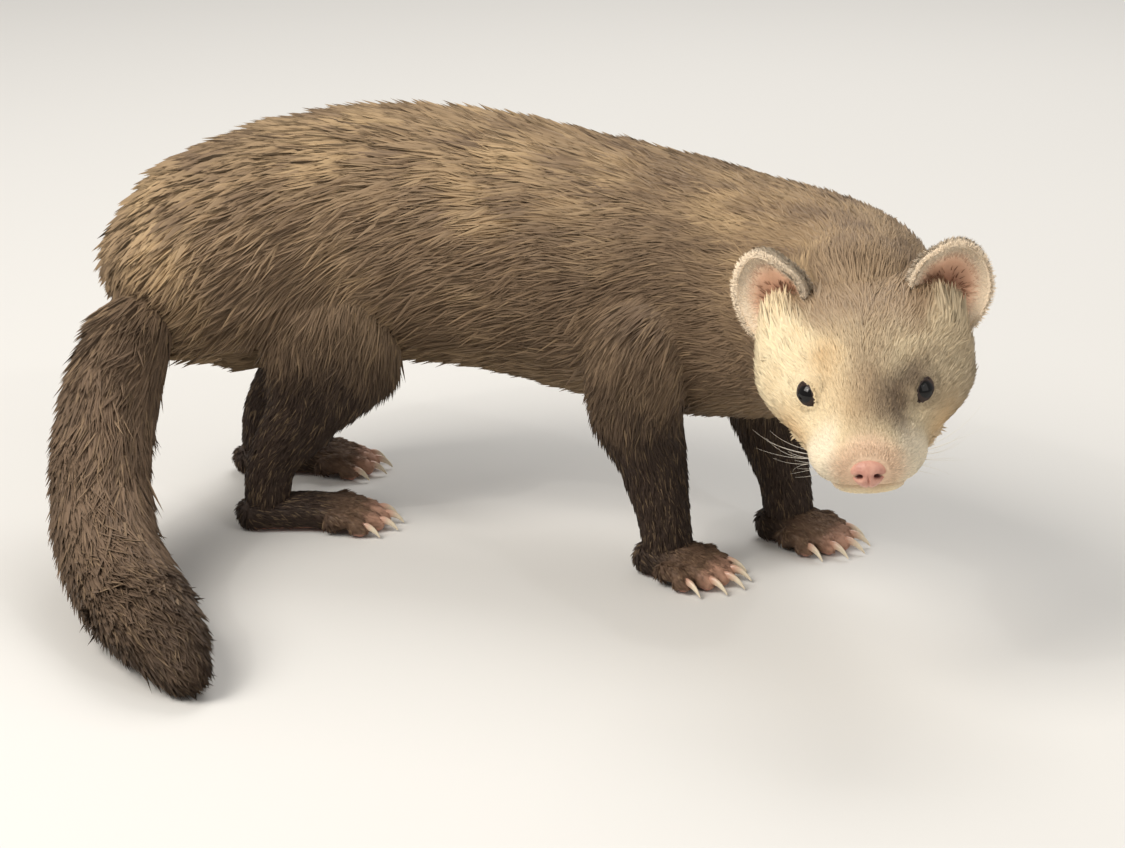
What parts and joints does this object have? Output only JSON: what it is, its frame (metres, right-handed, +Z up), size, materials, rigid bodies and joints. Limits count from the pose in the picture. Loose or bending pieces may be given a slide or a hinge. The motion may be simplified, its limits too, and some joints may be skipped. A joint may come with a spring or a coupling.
{
  "type": "ferret",
  "caption": "Life-size still model of a pet ferret on its feet, long body gently curved, head turned and lowered, tail laid round on the floor.",
  "frame": {"origin": "on the floor, under the middle of the whole animal's box", "axes": "+X the way the chest faces, +Y to the animal's left, +Z up"},
  "size_m": [0.271, 0.2062, 0.1203],
  "materials": {
    "body_coat": "soft fur, sandy grey-brown guard hair over a pale undercoat",
    "pale_coat": "short soft fur, cream to taupe",
    "dark_coat": "soft fur, dark brown",
    "paw": "thinly furred skin, pinkish brown",
    "ear_skin": "thin bare skin with a downy rim",
    "nose_skin": "moist pink skin",
    "eye": "wet gloss, almost black brown",
    "claw": "translucent horn, ivory",
    "whisker": "fine pale bristle"
  },
  "bodies": {
    "root": {"head": "pale_coat", "nose": "nose_skin", "eye_left": "eye", "ear_left": "ear_skin", "eye_right": "eye", "ear_right": "ear_skin", "forepaw_left": "paw", "upper_arm_left": "dark_coat", "forearm_left": "dark_coat", "forepaw_right": "paw", "upper_arm_right": "dark_coat", "forearm_right": "dark_coat", "hindpaw_left": "paw", "thigh_left": "dark_coat", "shank_left": "dark_coat", "hindpaw_right": "paw", "thigh_right": "dark_coat", "shank_right": "dark_coat", "tail_base": "dark_coat", "tail_middle": "dark_coat", "tail_tip": "dark_coat", "neck": "body_coat", "chest": "body_coat", "loin": "body_coat", "hips": "body_coat"}
  },
  "joints": []
}
